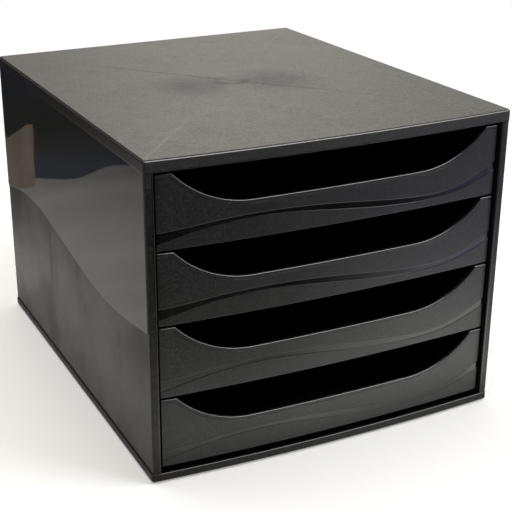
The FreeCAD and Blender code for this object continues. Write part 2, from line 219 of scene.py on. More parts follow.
# Lamps: name, place, side, watts, colour.
LAMPS = (("key_softbox", (1.3, -1.1, 1.7), 1.2, 26, (0.94, 0.97, 1.0)),
         ("top_softbox", (-0.2, 0.4, 2.2), 1.6, 22, (1.0, 0.98, 0.94)))
LAMP_TARGET = (0, 0, 0.12)
CAMERA_LENS = 82.216
CAMERA_SHIFT = 0.09
CAMERA_TURN = (-24.386, 21.986, -0.568)
CAMERA_PLACE = (-0.39249, -0.82133, 0.45448)


# ---- Curves ----

def front_y(x, inset):
    """Y of the bowed front: the bow's centre less the height of a circle of the bow's radius
    less the inset."""
    return BOW_CENTRE_Y - np.sqrt((BOW_RADIUS - inset) ** 2 - np.square(x))


def smooth_through(points, at):
    """Heights at the given places on the natural cubic through (place, height) points."""
    x, y = np.array(points, float).T
    gap, slope = np.diff(x), np.diff(y) / np.diff(x)
    inner = np.arange(1, len(x) - 1)
    system, right = np.eye(len(x)), np.zeros(len(x))
    system[inner, inner - 1], system[inner, inner + 1] = gap[:-1], gap[1:]
    system[inner, inner] = 2 * (gap[:-1] + gap[1:])
    right[inner] = 6 * np.diff(slope)
    bend = np.linalg.solve(system, right)
    k = np.clip(np.searchsorted(x, at) - 1, 0, len(x) - 2)
    a = (x[k + 1] - at) / gap[k]
    b = 1 - a
    bent = (a ** 3 - a) * bend[k] + (b ** 3 - b) * bend[k + 1]
    return a * y[k] + b * y[k + 1] + bent * gap[k] ** 2 / 6


def arc(centre, radius, start, end, count):
    """Points at even angles, in degrees, on an arc about a centre."""
    turn = np.radians(np.linspace(start, end, count))
    return np.stack([centre[0] + radius * np.cos(turn), centre[1] + radius * np.sin(turn)], -1)


def whole_circle(centre, radius, count):
    """Points at even angles all the way round a centre."""
    return arc(centre, radius, 0, 360 - 360 / count, count)


def straight(start, end, count):
    """Points at even steps between two ends, both ends left out."""
    share = np.linspace(0, 1, count + 2)[1:-1, None]
    return np.array(start) * (1 - share) + np.array(end) * share


def bow_at(x, circle):
    """Y and lean, in degrees, where a circle about the bow's centre passes x from the middle."""
    return BOW_CENTRE_Y - math.sqrt(circle ** 2 - x ** 2), math.degrees(math.asin(x / circle))


def case_outline(inset):
    """The case's closed plan outline set in by inset: bowed front from left to right, then each
    rounded corner and straight side in turn.  Every inset gives the same number of points."""
    radius = max(CORNER_RADIUS - inset, LEAST_RADIUS)
    half, circle, back = HALF_WIDTH - inset, BOW_RADIUS - inset, BACK_Y - inset
    corner_x = half - radius
    corner_y, lean = bow_at(corner_x, circle - radius)
    front = arc((0, BOW_CENTRE_Y), circle, -90 - lean, -90 + lean, BOW_POINTS)
    corners = [arc((corner_x, corner_y), radius, -90 + lean, 0, CORNER_POINTS)[1:],
               arc((corner_x, back - radius), radius, 0, 90, CORNER_POINTS),
               arc((-corner_x, back - radius), radius, 90, 180, CORNER_POINTS),
               arc((-corner_x, corner_y), radius, 180, 270 - lean, CORNER_POINTS)[:-1]]
    right = straight(corners[0][-1], corners[1][0], STRAIGHT_POINTS)
    rear = straight(corners[1][-1], corners[2][0], STRAIGHT_POINTS)
    left = straight(corners[2][-1], corners[3][0], STRAIGHT_POINTS)
    return np.concatenate([front, corners[0], right, corners[1], rear, corners[2], left, corners[3]])


def edge_rows(radius, start, end, about):
    """(inset, height) rows that round an edge: a quarter circle about a point."""
    return [tuple(row) for row in arc(about, radius, start, end, ROUNDING_POINTS)]


# ---- Meshes ----

def grid_quads(rows, columns, rows_close=False, columns_close=False):
    """Vertex numbers of a grid's quads, its vertices counted row by row."""
    row, column = np.meshgrid(np.arange(rows if rows_close else rows - 1),
                              np.arange(columns if columns_close else columns - 1), indexing="ij")
    next_row, next_column = (row + 1) % rows, (column + 1) % columns
    quads = [row * columns + column, row * columns + next_column,
             next_row * columns + next_column, next_row * columns + column]
    return np.stack(quads, -1).reshape(-1, 4)


def stacked(rings, finish=PLAIN, top=PLAIN):
    """A closed shell from rings of (x, y, z) points, each ring closed, the first and last capped.
    finish numbers the finish of all quads or of each, and top that of the last cap."""
    rows, columns = rings.shape[:2]
    quads = grid_quads(rows, columns, columns_close=True)
    caps = [np.arange(columns), (rows - 1) * columns + np.arange(columns)]
    return rings.reshape(-1, 3), quads, caps, [*np.broadcast_to(finish, len(quads)), PLAIN, top]


def raised(outline, heights):
    """A plan outline lifted to heights, as (x, y, z) points."""
    return np.concatenate([outline, np.broadcast_to(heights, len(outline))[:, None]], 1)


def bar(sections, radius):
    """A bar along Y with rounded edges: at each (y, x ends, z ends) a rectangle whose corners are
    quarter circles, and the first and last sections drawn in to bevel the bar's ends."""
    first, last = sections[0], sections[-1]
    rows = [(*first, BAR_BEVEL), (first[0] + BAR_BEVEL, *first[1:], 0)]
    rows += [(*section, 0) for section in sections[1:-1]]
    rows += [(last[0] - BAR_BEVEL, *last[1:], 0), (*last, BAR_BEVEL)]
    rings = []
    for y, x, z, draw in rows:
        low_x, high_x, low_z, high_z = min(x) + draw, max(x) - draw, min(z) + draw, max(z) - draw
        r = max(radius - draw, LEAST_BAR_RADIUS)
        corners = (((high_x - r, high_z - r), 0), ((low_x + r, high_z - r), 90),
                   ((low_x + r, low_z + r), 180), ((high_x - r, low_z + r), 270))
        loop = np.concatenate([arc(at, r, turn, turn + 90, ROUNDING_POINTS) for at, turn in corners])
        rings.append(np.stack([loop[:, 0], np.full(len(loop), y), loop[:, 1]], -1))
    return stacked(np.array(rings))


def turned(shell, degrees, place):
    """A shell turned about the Z axis through the origin and then carried to a place."""
    cos, sin = math.cos(math.radians(degrees)), math.sin(math.radians(degrees))
    matrix = np.array([[cos, -sin, 0], [sin, cos, 0], [0, 0, 1]])
    return (shell[0] @ matrix.T + place,) + shell[1:]


def mirrored(shell):
    """A shell mirrored left to right; its faces are turned outwards again when it is made."""
    return (shell[0] * (-1, 1, 1),) + shell[1:]


def lifted(shell, height):
    """A shell carried up by a height."""
    return (shell[0] + (0, 0, height),) + shell[1:]


def make_piece(name, shells, finishes, body, slot, *nodes):
    """One object from closed shells, in metres, smooth but for its sharp edges, riding on its body."""
    points, faces, marks, first = [], [], [], 0
    for vertices, quads, caps, shell_marks in shells:
        points.append(vertices)
        faces += (quads + first).tolist() + [(cap + first).tolist() for cap in caps]
        marks += list(shell_marks)
        first += len(vertices)
    mesh = bpy.data.meshes.new(name)
    mesh.from_pydata((np.concatenate(points) * MM).tolist(), [], faces)
    mesh.polygons.foreach_set("material_index", np.array(marks, np.int32))
    for finish in finishes:
        mesh.materials.append(finish)
    work = bmesh.new()
    work.from_mesh(mesh)
    bmesh.ops.recalc_face_normals(work, faces=work.faces)
    work.to_mesh(mesh)
    work.free()
    mesh.shade_smooth()
    mesh.set_sharp_from_angle(angle=math.radians(SHARP_ANGLE))
    mesh.update()
    piece = bpy.data.objects.new(name, mesh)
    bpy.context.scene.collection.objects.link(piece)
    weighted = piece.modifiers.new("even_faces", "WEIGHTED_NORMAL")
    weighted.keep_sharp = True
    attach(piece, body)
    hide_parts(*nodes)


# ---- Lid and base ----

def rimmed_shell(bands, top):
    """A lid or a base: the case's outline at each (inset, height) row, capped at both ends.  bands
    holds (rows, number of the finish above them) pairs, and top is the upper cap's finish."""
    rows = [row for band, _ in bands for row in band]
    finish = [number for band, number in bands for _ in band]
    rings = np.array([raised(case_outline(inset), z) for inset, z in rows])
    return stacked(rings, np.repeat(finish[:-1], rings.shape[1]), top)


def lid_shell():
    """The lid: its rim hangs down to the panels, and a fine step with a groove at its foot runs
    round its pebbled field."""
    under, land = CASE_TOP - PLATE_THICKNESS, CASE_TOP - LID_STEP
    inside = [(RIM_THICKNESS + PLATE_LAP, under), (RIM_THICKNESS, under),
              (RIM_THICKNESS, PANEL_TOP + 0.2), (RIM_THICKNESS - 0.2, PANEL_TOP),
              (JOINT_EDGE + 0.1, PANEL_TOP)]
    lower = edge_rows(JOINT_EDGE, -90, -180, (JOINT_EDGE, PANEL_TOP + JOINT_EDGE))
    rim = [(0, PANEL_TOP + 0.9), (0, land - LID_EDGE - 0.3)]
    upper = edge_rows(LID_EDGE, 180, 90, (LID_EDGE, land - LID_EDGE))
    groove = land - LID_GROOVE
    step = [(LID_EDGE + 0.2, land), (LID_EDGE + 0.28, groove), (LID_EDGE + 0.4, groove),
            (LID_EDGE + 0.45, land), (LID_EDGE + 0.5, CASE_TOP - LID_GROOVE)]
    field = [(LID_EDGE + 0.62, CASE_TOP), (3.0, CASE_TOP)]
    return rimmed_shell([(inside, PLAIN), (lower, WORN), (rim, PLAIN), (upper, WORN), (step, PLAIN),
                         (field, FIELD)], FIELD)


def lid_ribs():
    """Two ribs crossing under the lid from corner to corner, and the boss where they meet."""
    under = CASE_TOP - PLATE_THICKNESS
    reach_x, reach_y = HALF_WIDTH - RIM_THICKNESS - RIB_GAP, HALF_DEPTH - RIM_THICKNESS - RIB_GAP
    half, lean = math.hypot(reach_x, reach_y), math.degrees(math.atan2(reach_x, reach_y))
    across = (-RIB_THICKNESS / 2, RIB_THICKNESS / 2), (under - RIB_DEPTH, under + 0.2)
    rib = bar([(-half, *across), (half, *across)], RIB_ROUNDING)
    boss = ((BOSS_RADIUS, under + 0.1), (BOSS_RADIUS, under - RIB_DEPTH + BOSS_BEVEL),
            (BOSS_RADIUS - BOSS_BEVEL, under - RIB_DEPTH))
    rings = [raised(whole_circle((0, MIDDLE_Y), radius, BOSS_POINTS), z) for radius, z in boss]
    return [turned(rib, turn, (0, MIDDLE_Y, 0)) for turn in (lean, -lean)] + [stacked(np.array(rings))]


def base_shell():
    """The base plate with its rim standing up to the panels."""
    floor = CASE_BOTTOM + PLATE_THICKNESS
    under = [(BASE_EDGE + 2.0, CASE_BOTTOM), (BASE_EDGE + 0.2, CASE_BOTTOM)]
    lower = edge_rows(BASE_EDGE, -90, -180, (BASE_EDGE, CASE_BOTTOM + BASE_EDGE))
    rim = [(0, CASE_BOTTOM + BASE_EDGE + 0.3), (0, PANEL_BOTTOM - JOINT_EDGE - 0.3)]
    upper = edge_rows(JOINT_EDGE, 180, 90, (JOINT_EDGE, PANEL_BOTTOM - JOINT_EDGE))
    inside = [(JOINT_EDGE + 0.1, PANEL_BOTTOM), (RIM_THICKNESS - 0.3, PANEL_BOTTOM),
              (RIM_THICKNESS - 0.1, PANEL_BOTTOM - 0.05), (RIM_THICKNESS, PANEL_BOTTOM - 0.25),
              (RIM_THICKNESS, floor + 0.3), (RIM_THICKNESS + 0.3, floor),
              (RIM_THICKNESS + PLATE_LAP, floor)]
    return rimmed_shell([(under + lower + rim, PLAIN), (upper, WORN), (inside, PLAIN)], PLAIN)


# ---- Side panels ----

def side_plan():
    """Plan outline of the left panel with its front post: back edge, outside to the front, rounded
    corner, bowed front of the post, post's inner edge and back, and the inside to the back.  With it
    go the first and last columns of its outside and of the post's inner edge."""
    corner_x = PANEL_X - CORNER_RADIUS
    corner_y, corner_lean = bow_at(corner_x, BOW_RADIUS - CORNER_RADIUS)
    corner = arc((-corner_x, corner_y), CORNER_RADIUS, 180, 270 - corner_lean, 11)
    edge_x = POST_INSIDE_X + POST_EDGE
    edge_y, edge_lean = bow_at(edge_x, BOW_RADIUS - POST_EDGE)
    edge = arc((-edge_x, edge_y), POST_EDGE, 270 - edge_lean, 360, 7)
    back = arc((-PANEL_X + BACK_EDGE, PANEL_BACK_Y - BACK_EDGE), BACK_EDGE, 90, 180, ROUNDING_POINTS)
    outside = straight(back[-1], corner[0], OUTSIDE_POINTS)
    front = straight(corner[-1], edge[0], 4)
    post_back = [(-POST_INSIDE_X, POST_BACK_Y), (-PANEL_INSIDE_X, POST_BACK_Y)]
    last = (-PANEL_INSIDE_X, PANEL_BACK_Y)
    inside = straight(post_back[-1], last, STRAIGHT_POINTS)
    plan = np.concatenate([back, outside, corner, front, edge, post_back, inside, [last]])
    start, end = len(back) - 1, len(back) + len(outside)
    worn = end + len(corner) + len(front)
    return plan, (start, end), (worn - 1, worn + len(edge) - 2)


def side_shell():
    """The left panel: its plan outline carried up through rows that follow the wave, and drawn in
    to a plane below the wave, eased across the step by a sine."""
    plan, outside, rubbed = side_plan()
    from_front = np.clip((plan[:, 1] - FRONT_CORNER_Y) / (BACK_Y - FRONT_CORNER_Y), 0, 1)
    wave = smooth_through(SIDE_WAVE, from_front) + CASE_BOTTOM
    past_corner = plan[:, 0] > -PANEL_X + CORNER_RADIUS - 0.01
    wave = np.where(past_corner, wave[outside[1]], wave)
    step = np.array([-0.45, -0.22, 0.0, 0.22, 0.45])
    foot, head = PANEL_BOTTOM + 0.6, PANEL_TOP - 0.6
    rise = [PANEL_BOTTOM + up for up in (0, 0.12, 0.3, 0.6)]
    rise += [foot + (wave - WAVE_EASE - foot) * k for k in (0.25, 0.5, 0.75, 1)]
    below = len(rise)
    rise += [wave + up for up in step]
    rise += [wave + WAVE_EASE + (head - wave - WAVE_EASE) * k for k in (0, 0.25, 0.5, 0.75, 1)]
    rise += [PANEL_TOP - down for down in (0.3, 0.12, 0)]
    eased = 0.5 - 0.5 * np.sin(np.pi * step / WAVE_EASE)
    draw = [SIDE_WAVE_DEPTH] * below + list(SIDE_WAVE_DEPTH * eased)
    draw += [0] * (len(rise) - len(draw))
    rings = []
    for z, inwards in zip(rise, draw):
        ring = plan.copy()
        ring[:, 0] = np.maximum(ring[:, 0], -PANEL_X + inwards)
        rings.append(raised(ring, z))
    column = np.tile(np.arange(len(plan)), len(rings) - 1)
    row = np.repeat(np.arange(len(rings) - 1), len(plan))
    outer = (column >= outside[0]) & (column < outside[1])
    worn = (column >= rubbed[0]) & (column < rubbed[1])
    middle_of_step = below + len(step) // 2
    finish = np.where(outer, np.where(row >= middle_of_step, FIELD, SATIN), np.where(worn, WORN, PLAIN))
    return stacked(np.array(rings), finish)


def ledge_shells():
    """The ledges that carry the drawers, each with a slanted nose."""
    front = float(front_y(FACE_HALF, FACE_BACK_INSET)) + LEDGE_GAP
    outer = -PANEL_INSIDE_X - LEDGE_ROOT
    shells = []
    for bottom in FACE_BOTTOMS.values():
        z = (bottom + LEDGE_RISE - LEDGE_THICKNESS, bottom + LEDGE_RISE)
        shells.append(bar([(front, (outer, -LEDGE_INSIDE_X - LEDGE_LEAD_IN), z),
                           (front + LEDGE_LEAD_IN, (outer, -LEDGE_INSIDE_X), z),
                           (BACK_INSIDE_Y, (outer, -LEDGE_INSIDE_X), z)], LEDGE_ROUNDING))
    return shells


# ---- Drawers ----

def scoop_edge():
    """Top edge of a drawer face from left to right, with its outward normals: a level ear, its
    rounded corner, a slope that is an arc ending level, the level middle, and the same mirrored."""
    slope_centre = np.array([-SCOOP_FLAT_HALF, FACE_HEIGHT - SCOOP_DEPTH + SCOOP_RADIUS])
    corner_z = FACE_HEIGHT - EAR_CORNER
    across = math.sqrt((SCOOP_RADIUS + EAR_CORNER) ** 2 - (slope_centre[1] - corner_z) ** 2)
    corner = np.array([slope_centre[0] - across, corner_z])
    lean = math.degrees(math.atan2(slope_centre[1] - corner[1], slope_centre[0] - corner[0]))
    ear_x = np.concatenate([-FACE_HALF + np.array([0, 0.1, 0.22, 0.4, 0.7]),
                            np.linspace(-FACE_HALF + 1.5, corner[0] - 0.3, 6)])
    ear = np.stack([ear_x, np.full(EAR_COLUMNS, FACE_HEIGHT)], -1)
    rounding = arc(corner, EAR_CORNER, 90, lean, EAR_CORNER_COLUMNS)
    slope = 2 * slope_centre - arc(slope_centre, SCOOP_RADIUS, lean, 90, SLOPE_COLUMNS + 1)[1:]
    middle_x = np.linspace(-SCOOP_FLAT_HALF, 0, MIDDLE_COLUMNS + 1)[1:]
    middle = np.stack([middle_x, np.full(MIDDLE_COLUMNS, FACE_HEIGHT - SCOOP_DEPTH)], -1)
    half = np.concatenate([ear, rounding, slope, middle])
    turn = np.radians(np.concatenate([
        np.full(EAR_COLUMNS, 90), np.linspace(90, lean, EAR_CORNER_COLUMNS),
        np.linspace(lean, 90, SLOPE_COLUMNS + 1)[1:], np.full(MIDDLE_COLUMNS, 90)]))
    normal = np.stack([np.cos(turn), np.sin(turn)], -1)
    return (np.concatenate([half, half[-2::-1] * (-1, 1)]),
            np.concatenate([normal, normal[-2::-1] * (-1, 1)]))


def face_shell():
    """A drawer face as one wrapped grid: its columns run from left to right, its rows go up the
    front over the lower edge, the ribbon and the lip, over the top and down the back.  Rows below
    the lip stand straight under it; rows on the lip keep their distance from the scoop's edge.
    Towards both ends the front rolls back as a square, and rounds over at the very end."""
    edge, normal = scoop_edge()
    inner = edge - normal * LIP_WIDTH
    x, lip_foot = inner.T
    share = (x + FACE_HALF) / (2 * FACE_HALF)
    low, high = smooth_through(RIBBON_LOWER, share), smooth_through(RIBBON_UPPER, share)
    rows = []

    def upright(z, inset):
        rows.append((x, np.broadcast_to(z, x.shape), inset))

    def from_edge(distance, inset):
        place = edge - normal * distance
        rows.append((place[:, 0], place[:, 1], inset))

    upright(0.2, FACE_BACK_INSET)
    upright(0.06, FACE_BACK_INSET - 0.06)
    upright(0.0, FACE_BACK_INSET - 0.2)
    upright(0.0, FACE_INSET + FACE_EDGE + 0.1)
    for inset, z in arc((FACE_INSET + FACE_EDGE, FACE_EDGE), FACE_EDGE, -90, -180, ROUNDING_POINTS):
        upright(z, inset)
    for k in (0, 0.33, 0.66, 1):
        upright(0.7 + (low - 0.6 - 0.7) * k, FACE_INSET)
    ribbon_start = len(rows)
    for rise, sunk in RIBBON_BRINK:
        upright(low + rise, FACE_INSET + RIBBON_DEPTH * sunk)
    for k in (0, 0.5, 1):
        upright(low + 0.3 + (high - low - 0.6) * k, FACE_INSET + RIBBON_DEPTH)
    for rise, sunk in RIBBON_BRINK:
        upright(high + rise, FACE_INSET + RIBBON_DEPTH * (1 - sunk))
    ribbon_end = len(rows) - 1
    for k in (0, 0.25, 0.5, 0.75, 1):
        upright(high + 0.6 + (lip_foot - 1.0 - high - 0.6) * k, FACE_INSET)
    for below, sunk in LIP_GROOVE:
        upright(lip_foot - below, FACE_INSET + sunk)
    for distance, risen in ((LIP_WIDTH, 0.5), (LIP_WIDTH - 0.1, 0.85), (LIP_WIDTH - 0.3, 1),
                            (LIP_ROUNDING + 0.25, 1)):
        from_edge(distance, FACE_INSET - LIP_RISE * risen)
    worn_start = len(rows)
    lip_centre = (FACE_INSET - LIP_RISE + LIP_ROUNDING, LIP_ROUNDING)
    for inset, distance in arc(lip_centre, LIP_ROUNDING, 180, 270, 8):
        from_edge(distance, inset)
    worn_end = len(rows) - 1
    from_edge(0, FACE_BACK_INSET - 0.4)
    for inset, distance in arc((FACE_BACK_INSET - 0.3, 0.3), 0.3, 270, 360, 4):
        from_edge(distance, inset)
    from_edge(0.8, FACE_BACK_INSET)
    upright(lip_foot - 0.2, FACE_BACK_INSET)

    x, z, inset = (np.array([np.broadcast_to(row[i], edge.shape[:1]) for row in rows]) for i in range(3))
    beyond = np.clip(np.abs(x) - (FACE_HALF - FACE_EDGE), 0, FACE_EDGE)
    rounding = FACE_EDGE - np.sqrt(FACE_EDGE ** 2 - beyond ** 2)
    rolling = END_ROLL * np.clip((np.abs(x) - FACE_HALF + END_ROLL_RUN) / END_ROLL_RUN, 0, 1) ** 2
    y = front_y(x, inset + np.where(inset < FACE_INSET + 0.6, rounding + rolling, 0))
    count, columns = x.shape
    quads = grid_quads(count, columns, rows_close=True)
    row, column = quads[:, 0] // columns, quads[:, 0] % columns
    rubbed = (row >= worn_start) & (row < worn_end) & (column > EAR_COLUMNS)
    marks = np.where(rubbed, WORN, np.where((row >= ribbon_start) & (row < ribbon_end), FIELD, PLAIN))
    caps = [np.arange(count) * columns, np.arange(count) * columns + columns - 1]
    return np.stack([x, y, z], -1).reshape(-1, 3), quads, caps, [*marks, PLAIN, PLAIN]


def tray_shell():
    """The tray behind a face: its wall's profile carried from the front round the back corners to
    the front again, closed by the floor above and below and by its ends inside the face."""
    inset = (FACE_INSET + FACE_BACK_INSET) / 2
    start = np.array([-TRAY_HALF, float(front_y(TRAY_HALF, inset))])
    end = start * (-1, 1)
    corner_x, corner_y = TRAY_HALF - TRAY_CORNER, TRAY_BACK_Y - TRAY_CORNER
    left = arc((-corner_x, corner_y), TRAY_CORNER, 180, 90, TRAY_CORNER_POINTS)
    right = arc((corner_x, corner_y), TRAY_CORNER, 90, 0, TRAY_CORNER_POINTS)
    path = np.concatenate([[start], straight(start, left[0], WALL_POINTS), left,
                           straight(left[-1], right[0], TRAY_CORNER_POINTS), right,
                           straight(right[-1], end, WALL_POINTS), [end]])
    turn = np.radians(np.concatenate([
        np.full(WALL_POINTS + 1, 180), np.linspace(180, 90, TRAY_CORNER_POINTS),
        np.full(TRAY_CORNER_POINTS, 90), np.linspace(90, 0, TRAY_CORNER_POINTS),
        np.full(WALL_POINTS + 1, 0)]))
    normal = np.stack([np.cos(turn), np.sin(turn)], -1)
    sideways = np.abs(normal[:, 0])
    bead, inner = TRAY_TOP - BEAD_HEIGHT, -TRAY_WALL
    profile = [(-4.0, TRAY_LIFT), (-1.4, TRAY_LIFT), *arc((-1.2, TRAY_LIFT + 1.2), 1.2, -90, 0, 6),
               (0, TRAY_LIFT + 1.6), (0, bead - 0.3), (0.15, bead - 0.05),
               (BEAD_WIDTH - 0.15, bead + 0.1), (BEAD_WIDTH, bead + 0.3), (BEAD_WIDTH, TRAY_TOP - 0.4),
               (BEAD_WIDTH - 0.12, TRAY_TOP - 0.12), (BEAD_WIDTH - 0.4, TRAY_TOP),
               (inner + 0.4, TRAY_TOP), (inner + 0.12, TRAY_TOP - 0.12), (inner, TRAY_TOP - 0.4),
               (inner, TRAY_FLOOR + 1.8), *arc((inner - 1.5, TRAY_FLOOR + 1.5), 1.5, 0, -90, 6),
               (inner - 2.2, TRAY_FLOOR)]
    rings = []
    for outwards, z in profile:
        reach = outwards * sideways if outwards > 0 else outwards
        ring = path + normal * np.reshape(reach, (-1, 1))
        ring[[0, -1], 1] = front_y(ring[[0, -1], 0], inset)
        rings.append(raised(ring, z))
    rings = np.array(rings)
    rows, columns = rings.shape[:2]
    closing = []
    for ring in (rings[0], rings[-1]):
        x = straight((ring[-1][0],), (ring[0][0],), FRONT_POINTS)[:, 0]
        closing.append(np.stack([x, front_y(x, inset), np.full(len(x), ring[0][2])], -1))
    vertices = np.concatenate([rings.reshape(-1, 3)] + closing)
    low_front = rows * columns + np.arange(FRONT_POINTS)
    high_front = low_front + FRONT_POINTS
    left_end = np.arange(rows) * columns
    right_end = left_end[::-1] + columns - 1
    caps = [np.concatenate([np.arange(columns), low_front]),
            np.concatenate([(rows - 1) * columns + np.arange(columns), high_front]),
            np.concatenate([left_end, high_front[::-1], right_end, low_front])]
    quads = grid_quads(rows, columns)
    return vertices, quads, caps, [PLAIN] * (len(quads) + len(caps))


def lug_shells():
    """The stop lugs on both sides of the tray."""
    across = (-LUG_OUTSIDE_X, -TRAY_HALF + TRAY_WALL / 2), (TRAY_TOP - LUG_HEIGHT, TRAY_TOP)
    lug = bar([(y, *across) for y in LUG_Y], LUG_ROUNDING)
    return [lug, mirrored(lug)]


# ---- Feet and back ----

def foot_shell(centre):
    """A round pad turned about its own axis, its lower edge rounded."""
    flat = FOOT_RADIUS - FOOT_EDGE
    rows = [(5.0, 0.12), (6.6, 0.0), *arc((flat, FOOT_EDGE), FOOT_EDGE, -90, 0, ROUNDING_POINTS),
            (FOOT_RADIUS, CASE_BOTTOM)]
    return stacked(np.array([raised(whole_circle(centre, radius, FOOT_POINTS), z) for radius, z in rows]))


def back_shell():
    """The back panel between the side panels."""
    across = (-PANEL_INSIDE_X, PANEL_INSIDE_X), (PANEL_BOTTOM, PANEL_TOP)
    return bar([(BACK_INSIDE_Y, *across), (PANEL_BACK_Y, *across)], BACK_EDGE)


# ---- Finishes ----

class Nodes:
    """Short ways to add Blender's nodes to one node tree."""

    def __init__(self, tree, place="Object"):
        self.tree = tree
        self.place = tree.nodes.new("ShaderNodeTexCoord").outputs[place]

    def put(self, value, socket):
        """A socket linked to another, or set to a value."""
        if isinstance(value, bpy.types.NodeSocket):
            self.tree.links.new(value, socket)
        else:
            socket.default_value = value

    def add(self, kind, **inputs):
        """A node with its named inputs set."""
        node = self.tree.nodes.new(kind)
        for name, value in inputs.items():
            self.put(value, node.inputs[name])
        return node

    def calc(self, operation, first, second=0.0, third=0.0):
        """What a Math node makes of its inputs."""
        node = self.tree.nodes.new("ShaderNodeMath")
        node.operation = operation
        for value, socket in zip((first, second, third), node.inputs):
            self.put(value, socket)
        return node.outputs[0]

    def plus(self, first, second):
        return self.calc("ADD", first, second)

    def minus(self, first, second):
        return self.calc("SUBTRACT", first, second)

    def times(self, first, *others):
        """All the values multiplied."""
        for other in others:
            first = self.calc("MULTIPLY", first, other)
        return first

    def scaled(self, value, scale, offset):
        """The value times a scale, and then plus an offset."""
        return self.calc("MULTIPLY_ADD", value, scale, offset)

    def larger(self, first, second):
        """The larger of two values."""
        return self.calc("MAXIMUM", first, second)

    def length(self, x, y):
        """Length of the vector (x, y)."""
        return self.calc("SQRT", self.plus(self.times(x, x), self.times(y, y)))

    def axes(self):
        """X, Y and Z of the place, in metres."""
        node = self.tree.nodes.new("ShaderNodeSeparateXYZ")
        self.put(self.place, node.inputs[0])
        return node.outputs[0], node.outputs[1], node.outputs[2]

    def between(self, value, low, high, out_low=0.0, out_high=1.0):
        """A smooth step of the value from low to high."""
        node = self.tree.nodes.new("ShaderNodeMapRange")
        node.interpolation_type = "SMOOTHSTEP"
        for given, socket in zip((value, low, high, out_low, out_high), node.inputs):
            self.put(given, socket)
        return node.outputs[0]

    def spread(self, noise, out_low=0.0, out_high=1.0):
        """A noise, most of which lies between 0.3 and 0.7, spread over a wider range."""
        return self.between(noise, 0.3, 0.7, out_low, out_high)

    def mix(self, share, first, second):
        """A value between two others."""
        node = self.tree.nodes.new("ShaderNodeMix")
        for value, number in ((share, 0), (first, 2), (second, 3)):
            self.put(value, node.inputs[number])
        return node.outputs[0]

    def blend(self, share, first, second):
        """A colour between two others."""
        node = self.tree.nodes.new("ShaderNodeMix")
        node.data_type = "RGBA"
        self.put(share, node.inputs["Factor"])
        for colour, number in ((first, 6), (second, 7)):
            self.put((*colour, 1) if isinstance(colour, tuple) else colour, node.inputs[number])
        return node.outputs[2]

    def added(self, first, second):
        """Two shaders added together."""
        node = self.tree.nodes.new("ShaderNodeAddShader")
        self.put(first, node.inputs[0])
        self.put(second, node.inputs[1])
        return node.outputs[0]

    def shared(self, share, first, second):
        """Two shaders mixed by a share."""
        node = self.tree.nodes.new("ShaderNodeMixShader")
        for value, socket in zip((share, first, second), node.inputs):
            self.put(value, socket)
        return node.outputs[0]

    def noise(self, size, detail=3.0, stretch=(1, 1, 1), warp=0.0):
        """Noise whose blobs are about size millimetres across."""
        mapping = self.add("ShaderNodeMapping", Scale=stretch, Vector=self.place)
        return self.add("ShaderNodeTexNoise", Scale=1 / (size * MM), Detail=detail, Distortion=warp,
                        Vector=mapping.outputs["Vector"]).outputs["Fac"]


class Plastic(Nodes):
    """Builds one finish, all of it read from Object coordinates."""

    def __init__(self, name, roughness, ior=POLYSTYRENE_IOR):
        self.material = bpy.data.materials.new(name)
        self.material.use_nodes = True
        super().__init__(self.material.node_tree)
        self.surface = self.tree.nodes["Principled BSDF"]
        self.surface.inputs["IOR"].default_value = ior
        self.surface.inputs["Roughness"].default_value = roughness

    def colours(self, value, dark, light):
        self.put(self.blend(value, dark, light), self.surface.inputs["Base Color"])

    def rough(self, value):
        self.put(value, self.surface.inputs["Roughness"])

    def relief(self, height, depth, under=None):
        """Bump of the given depth in millimetres, on top of another bump."""
        node = self.add("ShaderNodeBump", Strength=1.0, Distance=depth * MM, Height=height)
        if under is not None:
            self.put(under, node.inputs["Normal"])
        return node.outputs["Normal"]

    def finish(self, normal):
        """The material, with its last bump put in place."""
        self.put(normal, self.surface.inputs["Normal"])
        return self.material


def grained_shell(name, mirroring):
    """Fine even grain of the lid's rim or, mirroring less, of the base's rim and the front posts, where
    the weaker mirroring is painted shade.  It is rougher high up, but calm on the left and right of the
    lid's rim."""
    p = Plastic(name, 0.42)
    p.surface.inputs["Specular IOR Level"].default_value = mirroring
    grain, mottle, cloud = p.noise(1.1, 2.0), p.noise(3.5, 3.0), p.noise(40, 3.0)
    p.colours(p.between(p.noise(1.8, 3.0), *SPECKS), SPECK_DARK, SPECK_LIGHT)
    x, _, height = p.axes()
    calm = p.times(p.between(p.calc("ABSOLUTE", x), 0.1405, 0.1418), p.between(height, 0.1, 0.2))
    p.rough(p.scaled(calm, -0.2, p.scaled(cloud, 0.12, p.between(height, 0.212, 0.222, 0.34, 0.46))))
    keep = p.scaled(calm, -0.75, 1.0)
    return p.finish(p.relief(p.times(mottle, keep), 0.15, p.relief(p.times(grain, keep), 0.14)))


